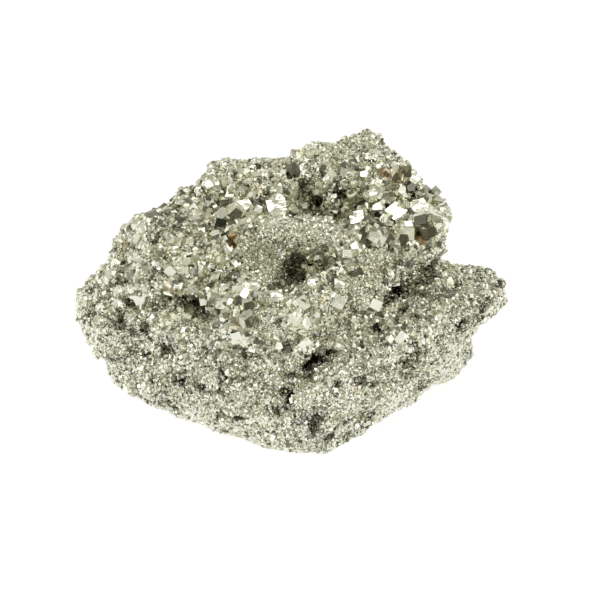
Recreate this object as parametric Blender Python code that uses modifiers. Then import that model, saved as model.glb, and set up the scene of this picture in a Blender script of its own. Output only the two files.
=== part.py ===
"""A hand specimen of pyrite, 80 mm across: one grown-together lump.

A low, wedge-fronted mass of fine-grained pyrite carries a thicker upper mass that overhangs
it on a ragged lip. The upper mass has a rounded nose, a pit behind it, a ridge over the pit
and a hollow lined with larger crystals at its right-hand end. Pyritohedra and cubes stand
out of the whole skin, largest in the hollow.

The skin is modelled in four steps: rounded masses are drawn together in one skin, the show
side gets its bumps and hollows, noise and ledges roughen the whole, and the outline is
fitted. Crystals are then fused with it.

Lengths below are in millimetres. +X is across, +Y to the back and +Z up. The show side is
seen from in front and 35 degrees above, and (across, up) measures its picture plane, which
passes through AIM square to the line of sight.
"""

import math

import bmesh
import bpy
import numpy as np
from mathutils import Euler, Matrix, Vector, noise
from mathutils.bvhtree import BVHTree

MM = 0.001

# --- The show side -----------------------------------------------------------------------
VIEW_TILT = 35.0  # degrees above the bench
VIEW_REACH = 400.0  # from the eye to the aim point
AIM = np.array((1.7, -3.0, 18.0))  # where the picture plane's (0, 0) is

# All is moved by this at the end, which brings the origin to the resting face, under the
# middle of the specimen's box.
CENTRE_SHIFT = (0.0, -1.4, -0.4)  # the last is the base cut's height

# The specimen's outline from the show side, as (across, up), clockwise from the left tip.
OUTLINE = (
    (-41.5, 2.0), (-40.5, 4.0), (-37.0, 5.5), (-35.5, 7.0), (-34.5, 10.0), (-33.5, 13.0),
    (-30.5, 15.5), (-27.5, 17.0), (-25.0, 17.5), (-23.0, 19.5), (-20.5, 20.5), (-18.0, 22.5),
    (-16.0, 26.0), (-14.0, 26.5), (-11.0, 26.0), (-7.0, 26.0), (-3.0, 26.0), (-0.5, 27.5),
    (2.0, 29.0), (5.5, 29.5), (8.0, 30.5), (10.5, 30.5), (11.5, 31.5), (13.0, 31.5),
    (14.5, 30.5), (16.5, 28.0), (19.5, 25.5), (21.5, 23.0), (23.0, 21.0), (26.0, 18.5),
    (28.0, 15.5), (28.0, 13.5), (26.5, 10.5), (26.0, 9.0), (29.0, 7.5), (30.0, 6.5),
    (33.0, 6.5), (36.0, 6.5), (37.0, 5.5), (37.5, 3.5), (38.5, 0.5), (38.0, -1.5),
    (34.5, -4.0), (32.5, -5.5), (31.5, -8.5), (32.0, -10.0), (30.0, -12.5), (29.0, -14.5),
    (26.0, -15.5), (23.0, -17.0), (21.0, -19.0), (15.5, -21.5), (10.5, -25.5), (8.5, -26.0),
    (6.5, -28.2), (0.0, -28.0), (-3.5, -27.8), (-7.0, -27.2), (-10.0, -25.6),
    (-18.5, -22.8), (-25.0, -20.6), (-31.5, -17.8), (-34.5, -15.0), (-36.0, -11.5),
    (-39.5, -7.0), (-41.0, -3.0),
)
OUTLINE_MARGIN = 0.1  # by which the skin is fitted past it, to make up for the thinning
OUTLINE_STEPS = 144  # directions in which the fit is measured
OUTLINE_PASSES = 4
OUTLINE_CORE = 0.45  # share of the reach inside which nothing is slid

# --- The masses --------------------------------------------------------------------------
# Each mass is a rounded box: centre, half sizes, turn in degrees about X, Y and Z.
LOWER_MASS = {
    "core": ((1, 3, 9), (33, 22, 12), (0, 0, 0)),
    "keel": ((3, -11, 6), (20, 13.5, 9.5), (0, 0, 3)),
    "keel_left": ((-13, -8, 7), (17, 10, 8.5), (0, 0, -26)),
    "keel_right": ((17, -6, 7), (17, 10, 8.5), (0, 0, 30)),
    "wing": ((-28, 1, 11), (13, 12, 6.5), (0, -6, 8)),
    "wing_foot": ((-27, -2, 6), (10, 9, 6), (0, 0, -30)),
    "arm": ((29, 5, 11), (11, 9, 6.5), (0, -4, 14)),
    "arm_foot": ((26, 1, 6), (10, 9, 6), (0, 0, 38)),
    "back": ((-2, 17, 10), (29, 12, 12), (0, 0, -4)),
}
UPPER_MASS = {
    "slab": ((-5, 9, 22), (27, 17, 8.5), (14, 4, 0)),
    "shoulder": ((-26, 8, 18), (10, 11, 7), (10, -14, 12)),
    "crown_left": ((-13, 18, 24), (12, 8, 8), (8, 0, -6)),
    "crown_right": ((12, 18, 27), (11, 9, 9.5), (10, 6, -20)),
    "lobe": ((20, 9, 24.5), (10.5, 9.5, 7), (0, 16, 22)),
    "nose": ((-3, -7, 20), (12, 9, 6.5), (-14, 0, 0)),
    "nose_left": ((-13, -3, 19), (10, 9, 6), (-6, 0, -18)),
    "nose_right": ((9, -4, 19), (9, 9, 6), (0, 0, 24)),
    "ridge": ((1, 3, 26), (13, 5.5, 5.5), (0, 4, -4)),
}
BLOCK_ROUNDNESS = 0.62  # 0 is a box and 1 an ellipsoid
BLOCK_SUBDIVISIONS = 5

# Bumps and hollows of the show side: (across, up) of the middle, half width and height, spin
# on the picture plane, reach out towards the eye (less than 0 is a hollow), and the degrees
# by which a hollow leans up as it goes in, so that it runs under a lip.
RELIEF = {
    "nose_swell": ((-4.6, -1.8), (12.0, 8.5), -12, 2.0, 0),
    "ridge_crest": ((0.5, 13.4), (12.5, 4.0), -4, 2.0, 0),
    "ridge_end": ((11.5, 10.5), (5.0, 3.4), -30, 1.6, 0),
    "lobe_swell": ((24.5, 13.5), (5.0, 8.0), 0, 1.6, 0),
    "pit": ((-1.5, 4.9), (3.2, 4.3), -10, -8.0, 0),
    "pit_tail": ((5.8, 5.6), (6.2, 3.2), -14, -2.4, 4),
    "basin": ((15.4, 16.6), (11.5, 6.2), 14, -4.2, 0),
    "shoulder_basin": ((-12.5, 15.4), (9.5, 6.6), 32, -2.8, 0),
    "saddle_cleft": ((2.2, 19.6), (2.6, 6.0), -8, -4.0, 0),
    "saddle_gap": ((-1.6, 16.2), (2.4, 2.2), 0, -4.0, 10),
    "under_lobe": ((20.8, 2.8), (9.5, 2.1), 38, -3.2, 30),
    "under_lobe_step": ((17.6, -1.6), (4.6, 1.9), 42, -4.0, 34),
    "under_nose_right": ((3.9, -12.2), (5.6, 2.3), 26, -7.0, 30),
    "under_nose": ((-8.6, -10.6), (8.0, 1.9), -10, -3.6, 34),
    "nose_flank": ((-18.6, -2.0), (5.2, 3.0), -34, -4.0, 26),
    "under_slab": ((-27.0, -1.4), (9.0, 2.2), 8, -3.6, 34),
    "ring_hollow": ((13.4, -4.6), (3.2, 2.6), 60, -3.0, 10),
    "step_left": ((-21.8, -14.8), (5.4, 1.9), 14, -3.8, 36),
    "step_upper": ((-27.5, -9.0), (5.0, 1.8), -10, -2.6, 36),
    "step_mid": ((-12.0, -15.2), (6.5, 1.8), -6, -2.6, 36),
    "step_right": ((16.5, -14.0), (7.0, 1.8), 24, -2.4, 36),
    "crack": ((-2.0, -18.2), (2.0, 3.6), -22, -5.5, 10),
}

FULLY_FACING = 0.35  # cosine to the line of sight from which the relief has its full reach

SKIN_VOXEL = 0.8  # grid of the first, fine skin
SKIN_SMOOTHING = 3  # passes
# Roughness of the skin: (wavelength, height), from lumps down to ledges.
ROUGHNESS = ((11.0, 1.5), (5.0, 0.9), (2.4, 0.55))
STRATA_TILT = (6.0, -5.0)  # degrees about X and Y that the bedding leans
STRATA_PITCH = 5.2  # between ledges
STRATA_HEIGHT = 0.55
STRATA_WANDER = (16.0, 0.8)  # wavelength, and share of the pitch by which the beds wander
DOWNWARD_FADE = 0.5  # the roughness fades out where 1 + the normal's Z is less than this
SKIN_TRIANGLES = 3700  # of the skin, once thinned
BASE_CUT = 0.4  # height at which the base is cut off flat
BENCH = ((-60, -60, -20), (60, 60, BASE_CUT))  # low and high corners of what cuts it

# --- Crystals ----------------------------------------------------------------------------
# Named places, seen from the show side: (across, up), size across, the way its main face
# looks as (degrees right of the eye, degrees above the eye), spin about that face, habit.
CHIEF_CRYSTALS = {
    "square_pale": ((9.7, 18.9), 3.0, (-14, 22), 12, "pyritohedron"),
    "wedge_pale": ((13.2, 18.9), 3.2, (10, 24), 40, "pyritohedron"),
    "basin_heart": ((16.4, 19.2), 4.2, (4, 12), 20, "pyritohedron"),
    "basin_mirror": ((17.6, 16.0), 3.6, (-4, 30), 45, "cube"),
    "basin_side": ((20.0, 16.6), 2.4, (24, 20), 70, "pyritohedron"),
    "lobe_slab": ((22.0, 17.0), 3.4, (14, 26), 25, "cube"),
    "lobe_tooth": ((23.4, 13.0), 3.2, (30, -12), 42, "cube"),
    "lobe_shard": ((25.0, 14.4), 2.8, (22, 30), 5, "pyritohedron"),
    "basin_lip_mirror": ((10.6, 14.6), 2.6, (-8, 30), 6, "cube"),
    "dark_cube": ((12.3, 11.9), 3.8, (-6, -14), 38, "cube"),
    "basin_floor": ((16.0, 14.8), 2.6, (-24, 6), 15, "pyritohedron"),
    "grey_twin": ((19.2, 14.4), 3.0, (12, -6), 30, "cube"),
    "grey_low": ((19.0, 11.4), 2.8, (-10, -8), 55, "pyritohedron"),
    "crown_gold": ((15.4, 23.3), 2.6, (-26, 10), 20, "pyritohedron"),
    "crown_olive": ((17.6, 22.4), 2.8, (8, 4), 60, "pyritohedron"),
    "crown_broad": ((20.2, 21.8), 3.6, (20, 22), 34, "cube"),
    "crown_edge": ((19.3, 23.5), 2.4, (30, 8), 10, "cube"),
    "crown_white": ((11.8, 23.0), 2.2, (0, 28), 18, "pyritohedron"),
    "shoulder_mirror": ((-10.3, 17.4), 3.6, (-6, 30), 10, "pyritohedron"),
    "shoulder_round": ((-11.8, 15.4), 4.0, (6, -10), 50, "pyritohedron"),
    "shoulder_flat": ((-13.4, 17.4), 2.6, (-16, -6), 0, "cube"),
    "shoulder_low": ((-14.6, 15.6), 2.2, (-20, 28), 30, "cube"),
    "saddle_broad": ((-4.3, 16.4), 3.6, (4, 22), 15, "cube"),
    "saddle_left": ((-7.7, 16.2), 2.4, (-10, 22), 45, "pyritohedron"),
    "saddle_back": ((-4.0, 18.3), 2.6, (10, 26), 70, "pyritohedron"),
    "hood_dark": ((-11.9, 10.6), 2.6, (-18, -12), 25, "cube"),
    "hood_grey": ((-15.4, 11.4), 2.8, (16, -4), 35, "pyritohedron"),
    "flank_cube": ((-17.6, -0.5), 2.4, (-6, 20), 8, "cube"),
    "flank_twin": ((-15.6, 0.0), 2.0, (12, 14), 2, "cube"),
    "flank_dark": ((-13.5, 3.4), 2.2, (4, -12), 4, "cube"),
    "flank_mirror": ((-13.9, 1.8), 2.2, (-10, 30), 60, "pyritohedron"),
    "nose_dark": ((-9.4, -0.9), 3.8, (6, -10), 22, "pyritohedron"),
    "nose_ring": ((-12.2, -3.8), 2.8, (-4, 10), 0, "pyritohedron"),
    "nose_big": ((-9.2, -3.4), 4.0, (14, -4), 50, "pyritohedron"),
    "nose_top": ((-8.8, 2.3), 2.4, (0, 22), 30, "cube"),
    "nose_mid": ((-4.4, 0.4), 2.2, (8, 24), 12, "cube"),
    "nose_mirror": ((-4.0, -7.9), 2.2, (0, 30), 40, "pyritohedron"),
    "pit_roof": ((8.3, 7.8), 3.0, (-14, -6), 20, "cube"),
    "pit_white": ((10.1, 9.8), 2.2, (-4, 28), 35, "pyritohedron"),
    "pit_mirror": ((6.7, 5.1), 2.0, (-6, 30), 15, "pyritohedron"),
    "pit_dark": ((10.4, 5.1), 2.6, (10, -12), 45, "cube"),
    "pit_rim": ((7.2, 2.7), 1.8, (0, 22), 0, "cube"),
    "tail_long": ((7.7, -0.1), 2.4, (-8, 20), 60, "cube"),
}
CHIEF_DEPTH = 0.32  # share of its size that a chief crystal's centre lies under the skin

# Strewn crystals: a denser, larger crop in the hollows of the upper mass.
STREWN_COUNT = 76
STREWN_SIZE = (1.6, 2.7)
STREWN_DEPTH = 0.22
STREWN_SEED = 7
BASE_CLEAR = 3.0  # no strewn crystal is centred lower than this

RIDGE_RISE = 0.5  # of a pyritohedron's ridges over its cube, which gives the {210} form


def clear_scene():
    for obj in list(bpy.data.objects):
        bpy.data.objects.remove(obj, do_unlink=True)


def collection(name, hidden=False):
    made = bpy.data.collections.new(name)
    made.hide_render = hidden
    bpy.context.scene.collection.children.link(made)
    return made


def turned(degrees):
    """Rotation matrix for a turn in degrees about X, Y and Z."""
    return Euler([math.radians(angle) for angle in degrees]).to_matrix()


def sight_axes():
    """Unit vectors across, up and towards the eye on the show side."""
    tilt = math.radians(VIEW_TILT)
    across = np.array((1.0, 0.0, 0.0))
    up = np.array((0.0, math.sin(tilt), math.cos(tilt)))
    towards = np.array((0.0, -math.cos(tilt), math.sin(tilt)))
    return across, up, towards


def seen(points):
    """(across, up) of points as the eye on the show side sees them on the aim plane."""
    across, up, towards = sight_axes()
    offset = points - AIM
    shrink = VIEW_REACH / (VIEW_REACH - offset @ towards)
    return np.stack([offset @ across * shrink, offset @ up * shrink], axis=1)


def mesh_object(name, mesh, target):
    obj = bpy.data.objects.new(name, mesh)
    target.objects.link(obj)
    return obj


def block_mesh(blocks):
    """One mesh of rounded boxes: a sphere, drawn part of the way out onto its cube."""
    bm = bmesh.new()
    for centre, half_sizes, turn in blocks:
        ball = bmesh.ops.create_icosphere(bm, subdivisions=BLOCK_SUBDIVISIONS, radius=1.0)
        for vert in ball["verts"]:
            to_cube = 1 / max(abs(value) for value in vert.co)
            rounded = vert.co * (to_cube + (1 - to_cube) * BLOCK_ROUNDNESS)
            sized = Vector(half * value for half, value in zip(half_sizes, rounded))
            vert.co = Vector(centre) + turned(turn) @ sized
    mesh = bpy.data.meshes.new("blocks")
    bm.to_mesh(mesh)
    bm.free()
    return mesh


def evaluated_mesh(obj):
    """The object's mesh with its modifiers applied."""
    bpy.context.view_layer.update()
    graph = bpy.context.evaluated_depsgraph_get()
    return bpy.data.meshes.new_from_object(obj.evaluated_get(graph))


def bake_modifiers(obj):
    mesh = evaluated_mesh(obj)
    obj.modifiers.clear()
    obj.data = mesh


def skinned(obj):
    """Draws one closed skin round all that the object's shapes hold together."""
    remesh = obj.modifiers.new("skin", "REMESH")
    remesh.mode = "VOXEL"
    remesh.voxel_size = SKIN_VOXEL
    remesh.adaptivity = 0.0
    bake_modifiers(obj)


def points_of(mesh):
    points = np.empty(len(mesh.vertices) * 3, np.float32)
    mesh.vertices.foreach_get("co", points)
    return points.reshape(-1, 3).astype(float)


def normals_of(mesh):
    normals = np.empty(len(mesh.vertices) * 3, np.float32)
    mesh.vertex_normals.foreach_get("vector", normals)
    return normals.reshape(-1, 3).astype(float)


def move_points(mesh, points):
    mesh.vertices.foreach_set("co", points.astype(np.float32).ravel())
    mesh.update()


def roughen(mesh):
    """Pushes the skin in and out along its normals: noise of falling wavelength, and the
    ledges of the bedding, a rounded saw wave of the height above the leaning beds. What
    looks straight down stays flat, for the specimen to rest on."""
    points, normals = points_of(mesh), normals_of(mesh)
    push = np.zeros(len(points))
    for wavelength, height in ROUGHNESS:
        waves = [noise.noise(Vector(point) / wavelength, noise_basis="BLENDER") for point in points]
        push += height * np.array(waves)
    lean_x, lean_y = (math.tan(math.radians(angle)) for angle in STRATA_TILT)
    bed = points[:, 2] - points[:, 1] * lean_x + points[:, 0] * lean_y
    wavelength, share = STRATA_WANDER
    wander = np.array([noise.noise(Vector(point) / wavelength) for point in points])
    phase = bed / STRATA_PITCH + share * wander
    ledge = np.abs(2 * (phase - np.floor(phase)) - 1)
    push += STRATA_HEIGHT * (ledge - 0.5) * (1 - np.abs(normals[:, 2]))
    push *= np.clip((normals[:, 2] + 1) / DOWNWARD_FADE, 0, 1)
    move_points(mesh, points + normals * push[:, None])


def raise_relief(mesh):
    """Pushes the skin that faces the eye out or in by RELIEF, each a dome on an ellipse."""
    points, normals = points_of(mesh), normals_of(mesh)
    across, up, towards = sight_axes()
    picture = seen(points)
    faces_eye = np.clip(normals @ towards / FULLY_FACING, 0, 1)
    move = np.zeros(points.shape)
    for place, (half_width, half_height), spin, reach, lean in RELIEF.values():
        spin, lean = math.radians(spin), math.radians(lean)
        away = picture - place
        along = away[:, 0] * math.cos(spin) + away[:, 1] * math.sin(spin)
        above = away[:, 1] * math.cos(spin) - away[:, 0] * math.sin(spin)
        dome = np.clip(1 - (along / half_width) ** 2 - (above / half_height) ** 2, 0, 1)
        own_up = up * math.cos(spin) - across * math.sin(spin)
        way = towards * math.cos(lean) - own_up * math.sin(lean)
        move += (reach * dome * faces_eye)[:, None] * way
    move_points(mesh, points + move)


def ring_mean(values):
    """The mean of each value on a ring and its two neighbours."""
    return (values + np.roll(values, 1) + np.roll(values, -1)) / 3


def fit_outline(mesh):
    """Slides points level, in X and Y only, until the outline from the show side is OUTLINE.

    In each direction round the aim point, the skin's furthest reach is scaled to the
    outline's. The slide fades to nothing over the inner part of that reach. An upward miss
    on the picture plane is a slide in Y, 1 / sin(tilt) as long."""
    outline = np.array(OUTLINE)
    bearing = np.arctan2(outline[:, 1], outline[:, 0])
    order = np.argsort(bearing)
    reach = np.hypot(*outline.T) + OUTLINE_MARGIN
    steps = np.linspace(-math.pi, math.pi, OUTLINE_STEPS, endpoint=False)
    step = steps[1] - steps[0]
    wanted = np.interp(steps, bearing[order], reach[order], period=2 * math.pi)
    slide = 1 / math.sin(math.radians(VIEW_TILT))
    points = points_of(mesh)
    for _ in range(OUTLINE_PASSES):
        picture = seen(points)
        angle = np.arctan2(picture[:, 1], picture[:, 0])
        distance = np.hypot(*picture.T)
        slot = np.round((angle + math.pi) / step).astype(int) % OUTLINE_STEPS
        furthest = np.zeros(OUTLINE_STEPS)
        np.maximum.at(furthest, slot, distance)
        change = ring_mean(ring_mean(wanted / furthest))
        scale = np.interp(angle, steps, change, period=2 * math.pi)
        share = distance / np.interp(angle, steps, furthest, period=2 * math.pi)
        fade = np.clip((share - OUTLINE_CORE) / (1 - OUTLINE_CORE), 0, 1)
        pull = (scale - 1) * fade
        points[:, 0] += picture[:, 0] * pull
        points[:, 1] += picture[:, 1] * pull * slide
    move_points(mesh, points)


def set_down(mesh):
    """Flattens what would be under the bench onto it."""
    points = points_of(mesh)
    points[:, 2] = np.maximum(points[:, 2], 0)
    move_points(mesh, points)


def box_object(name, low, high, target):
    bm = bmesh.new()
    size = Vector(high) - Vector(low)
    middle = (Vector(high) + Vector(low)) / 2
    place = Matrix.Translation(middle) @ Matrix.Diagonal((*size, 1))
    bmesh.ops.create_cube(bm, size=1.0, matrix=place)
    mesh = bpy.data.meshes.new(name)
    bm.to_mesh(mesh)
    bm.free()
    return mesh_object(name, mesh, target)


def cut_base(body, cutters):
    """Cuts the specimen off flat where it rests."""
    bench = box_object("bench", *BENCH, cutters)
    bench.display_type = "WIRE"
    bench.hide_render = True
    cut = body.modifiers.new("cut_base", "BOOLEAN")
    cut.operation = "DIFFERENCE"
    cut.object = bench
    bake_modifiers(body)


def thin_out(obj, triangles):
    """Merges the flattest faces until about this many triangles are left."""
    obj.data.calc_loop_triangles()
    thin = obj.modifiers.new("thin_out", "DECIMATE")
    thin.ratio = triangles / len(obj.data.loop_triangles)
    thin.use_collapse_triangulate = True
    bake_modifiers(obj)


def surface_of(body):
    return BVHTree.FromPolygons(
        [vert.co for vert in body.data.vertices],
        [face.vertices[:] for face in body.data.polygons],
    )


def make_skin(specimen, cutters):
    """The specimen's body without its crystals."""
    masses = [*LOWER_MASS.values(), *UPPER_MASS.values()]
    body = mesh_object("pyrite_specimen", block_mesh(masses), specimen)
    skinned(body)
    set_down(body.data)
    fit_outline(body.data)
    raise_relief(body.data)
    skinned(body)
    smooth = body.modifiers.new("smooth", "SMOOTH")
    smooth.factor = 0.5
    smooth.iterations = SKIN_SMOOTHING
    bake_modifiers(body)
    roughen(body.data)
    set_down(body.data)
    fit_outline(body.data)
    skinned(body)
    fit_outline(body.data)
    thin_out(body, SKIN_TRIANGLES)
    cut_base(body, cutters)
    return body


def cube_corners():
    return [Vector((x, y, z)) for x in (-1, 1) for y in (-1, 1) for z in (-1, 1)]


def pyritohedron_corners():
    """A cube's corners and, on each axis in turn, the ends of a roof ridge over each face."""
    long, short = 1 + RIDGE_RISE, 1 - RIDGE_RISE**2
    corners = cube_corners()
    for a in (-short, short):
        for b in (-long, long):
            corners += [Vector((0, a, b)), Vector((a, b, 0)), Vector((b, 0, a))]
    return corners


HABITS = {
    # corners, the direction of one of its faces, its size across that face's axis
    "cube": (cube_corners(), Vector((0, 0, 1)), 2.0),
    "pyritohedron": (pyritohedron_corners(), Vector((0, 1, RIDGE_RISE)), 2.68),
}


def crystal_mesh(centre, size, facing, spin, habit):
    """One crystal with a face that looks along facing, turned about it by spin."""
    corners, face, across = HABITS[habit]
    turn = Matrix.Rotation(math.radians(spin), 3, facing) @ face.rotation_difference(facing).to_matrix()
    bm = bmesh.new()
    verts = [bm.verts.new(centre + turn @ corner * (size / across)) for corner in corners]
    bmesh.ops.convex_hull(bm, input=verts)
    bmesh.ops.recalc_face_normals(bm, faces=bm.faces[:])
    mesh = bpy.data.meshes.new(habit)
    bm.to_mesh(mesh)
    bm.free()
    return mesh


def facing_direction(right, above):
    """The direction that looks right of and above the eye by these degrees."""
    across, up, towards = (Vector(axis) for axis in sight_axes())
    yaw, pitch = math.radians(right), math.radians(above)
    level = towards * math.cos(yaw) + across * math.sin(yaw)
    return (level * math.cos(pitch) + up * math.sin(pitch)).normalized()


def sight_line(place):
    """The eye and the direction in which it sees this (across, up) on the aim plane."""
    across, up, towards = sight_axes()
    eye = AIM + towards * VIEW_REACH
    mark = AIM + across * place[0] + up * place[1]
    return Vector(eye), Vector(mark - eye).normalized()


def chief_crystals(surface):
    """The named crystals, each set in where its line of sight meets the skin."""
    crystals = []
    for place, size, (right, above), spin, habit in CHIEF_CRYSTALS.values():
        eye, sight = sight_line(place)
        touch, _, _, _ = surface.ray_cast(eye, sight)
        centre = touch + sight * size * CHIEF_DEPTH
        crystals.append((centre, size, facing_direction(right, above), spin, habit))
    return crystals


def strewn_crystals(body):
    """Crystals strewn over the skin by area, each turned at random."""
    rng = np.random.default_rng(STREWN_SEED)
    mesh = body.data
    mesh.calc_loop_triangles()
    corners = np.array([triangle.vertices[:] for triangle in mesh.loop_triangles])
    triangles = points_of(mesh)[corners]
    crossed = np.cross(triangles[:, 1] - triangles[:, 0], triangles[:, 2] - triangles[:, 0])
    area = np.linalg.norm(crossed, axis=1) / 2
    weight = area * (triangles[:, :, 2].min(axis=1) > BASE_CLEAR)
    picks = rng.choice(len(triangles), STREWN_COUNT, p=weight / weight.sum())
    crystals = []
    for pick in picks:
        share = rng.dirichlet((1, 1, 1))
        normal = Vector(crossed[pick]).normalized()
        size = rng.uniform(*STREWN_SIZE)
        centre = Vector(share @ triangles[pick]) - normal * size * STREWN_DEPTH
        facing = Vector(rng.normal(size=3)).normalized()
        habit = "pyritohedron" if rng.random() < 0.5 else "cube"
        crystals.append((centre, size, facing, rng.uniform(0, 90), habit))
    return crystals


def grow_crystals(body):
    """Fuses the crystals with the skin they stand on. The solver is the one that keeps the
    result closed where a hundred crystals cross each other."""
    surface = surface_of(body)
    crystals = [*chief_crystals(surface), *strewn_crystals(body)]
    grown = collection("crystals", hidden=True)
    for number, crystal in enumerate(crystals):
        one = mesh_object(f"crystal_{number:03d}", crystal_mesh(*crystal), grown)
        one.display_type = "WIRE"
        one.hide_render = True
    fuse = body.modifiers.new("fuse", "BOOLEAN")
    fuse.operation = "UNION"
    fuse.operand_type = "COLLECTION"
    fuse.collection = grown
    fuse.solver = "MANIFOLD"
    bake_modifiers(body)


def pyrite_material():
    material = bpy.data.materials.new("pyrite")
    material.use_nodes = True
    shader = material.node_tree.nodes["Principled BSDF"]
    shader.inputs["Base Color"].default_value = (0.72, 0.69, 0.50, 1.0)
    shader.inputs["Metallic"].default_value = 1.0
    shader.inputs["Roughness"].default_value = 0.3
    return material


def main():
    clear_scene()
    specimen = collection("pyrite_specimen")
    cutters = collection("cutters", hidden=True)
    body = make_skin(specimen, cutters)
    grow_crystals(body)
    body.data.transform(Matrix.Scale(MM, 4) @ Matrix.Translation(CENTRE_SHIFT))
    body.data.materials.clear()
    body.data.materials.append(pyrite_material())


main()
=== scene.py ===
"""The finish of a pyrite specimen: a dark granular matrix under a crust of grown crystals.

The matrix is a finely drawn copy of the solid, sunk by the depth of its crust. The chief
crystals are set on it one by one. Round them grow coarse and medium druse, the grains that
fill between their crystals, and fine grains, and larger plates and crystals are strewn over
these. All have flat faces. Lengths in the tables are in millimetres, and (across, up)
measures the picture plane of the show side, which is seen from in front and 35 degrees
above.
"""

import math

import bmesh
import bpy
import numpy as np
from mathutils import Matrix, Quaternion, Vector
from mathutils.bvhtree import BVHTree


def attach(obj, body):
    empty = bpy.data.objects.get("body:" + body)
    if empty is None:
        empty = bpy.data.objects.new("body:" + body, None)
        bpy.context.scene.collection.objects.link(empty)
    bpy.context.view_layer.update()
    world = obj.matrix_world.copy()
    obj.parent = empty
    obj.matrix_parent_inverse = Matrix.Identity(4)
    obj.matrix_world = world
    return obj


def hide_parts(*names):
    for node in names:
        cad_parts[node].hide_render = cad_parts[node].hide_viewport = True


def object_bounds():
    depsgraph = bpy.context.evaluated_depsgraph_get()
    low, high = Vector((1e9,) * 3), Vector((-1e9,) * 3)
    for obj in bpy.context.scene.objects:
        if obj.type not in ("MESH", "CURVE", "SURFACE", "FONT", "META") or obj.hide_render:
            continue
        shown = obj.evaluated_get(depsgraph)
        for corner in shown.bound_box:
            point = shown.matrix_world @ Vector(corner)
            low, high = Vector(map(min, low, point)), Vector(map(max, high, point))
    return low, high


bl_info = {
    "name": "Pyrite Specimen",
    "version": (1, 0, 0),
    "blender": (4, 5, 0),
    "location": "3D View > Sidebar > Specimen",
    "description": "Covers a pyrite specimen's solid with crystals and sets the stage",
    "category": "Object",
}

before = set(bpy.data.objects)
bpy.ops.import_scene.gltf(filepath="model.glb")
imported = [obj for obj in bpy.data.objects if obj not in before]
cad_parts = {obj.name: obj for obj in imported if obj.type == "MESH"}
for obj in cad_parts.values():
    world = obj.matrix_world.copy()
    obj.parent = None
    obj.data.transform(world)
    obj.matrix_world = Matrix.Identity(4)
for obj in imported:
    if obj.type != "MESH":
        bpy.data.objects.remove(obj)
SOLID_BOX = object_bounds()
SOLID = "pyrite_specimen"
MM = 0.001

# --- The show side ------------------------------------------------------------------------
VIEW_TILT = 35.0  # degrees above the floor
VIEW_REACH = 400.0  # from the eye to the aim point
AIM = np.array((1.7, -4.4, 17.6))
PICTURE_WIDTH = 110.6  # of the picture plane that the camera takes in
SENSOR = 36.0

# The druse: (across, up), (half width, half height), spin, size of its grains, share of the
# skin under larger strewn crystals. Each zone is an ellipse with a soft edge, on the side
# that faces the eye.
DRUSE_ZONES = {
    "upper_left": ((-20.0, 9.0), (20.0, 13.0), 30, 0.55, 0.60),
    "left_edge": ((-29.0, 9.0), (7.0, 9.0), 50, 0.48, 0.46),
    "saddle": ((-5.0, 19.0), (12.0, 6.5), 4, 0.58, 0.75),
    "crown": ((11.0, 25.0), (9.5, 7.5), 10, 0.44, 0.62),
    "basin": ((15.5, 15.5), (12.5, 7.0), 8, 2.1, 0.0),
    "lobe_edge": ((26.0, 10.5), (4.0, 7.0), 0, 0.42, 0.2),
    "shoulder_basin": ((-11.5, 15.5), (9.0, 5.0), 30, 1.6, 0.1),
    "left_band": ((-15.0, 1.5), (9.0, 4.5), -20, 1.2, 0.3),
    "nose_left": ((-10.5, -3.0), (6.0, 5.0), -40, 1.6, 0.1),
    "nose": ((-3.6, -3.8), (7.5, 7.0), 0, 0.36, 0.5),
    "pit_tail": ((6.6, 6.2), (7.0, 4.4), -14, 1.4, 0.2),
    "under_ridge": ((14.0, 3.8), (10.5, 5.4), 26, 0.34, 0.08),
    "ridge": ((0.5, 13.0), (12.0, 3.6), -4, 0.29, 0.0),
    "ridge_left": ((-7.0, 8.0), (4.8, 6.0), 30, 0.30, 0.0),
    "ridge_end": ((13.5, 7.5), (5.0, 3.0), -20, 0.31, 0.0),
}
LOWER_DRUSE = (0.40, 0.09)  # size and strewn share of the lower mass
UPPER_DRUSE = (0.48, 0.36)  # and of the upper mass, outside the zones
REAR_SIZE = 0.54  # of the grains that face away from the eye
UPPER_FROM = (13.0, 20.0)  # heights between which the one goes over to the other

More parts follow.
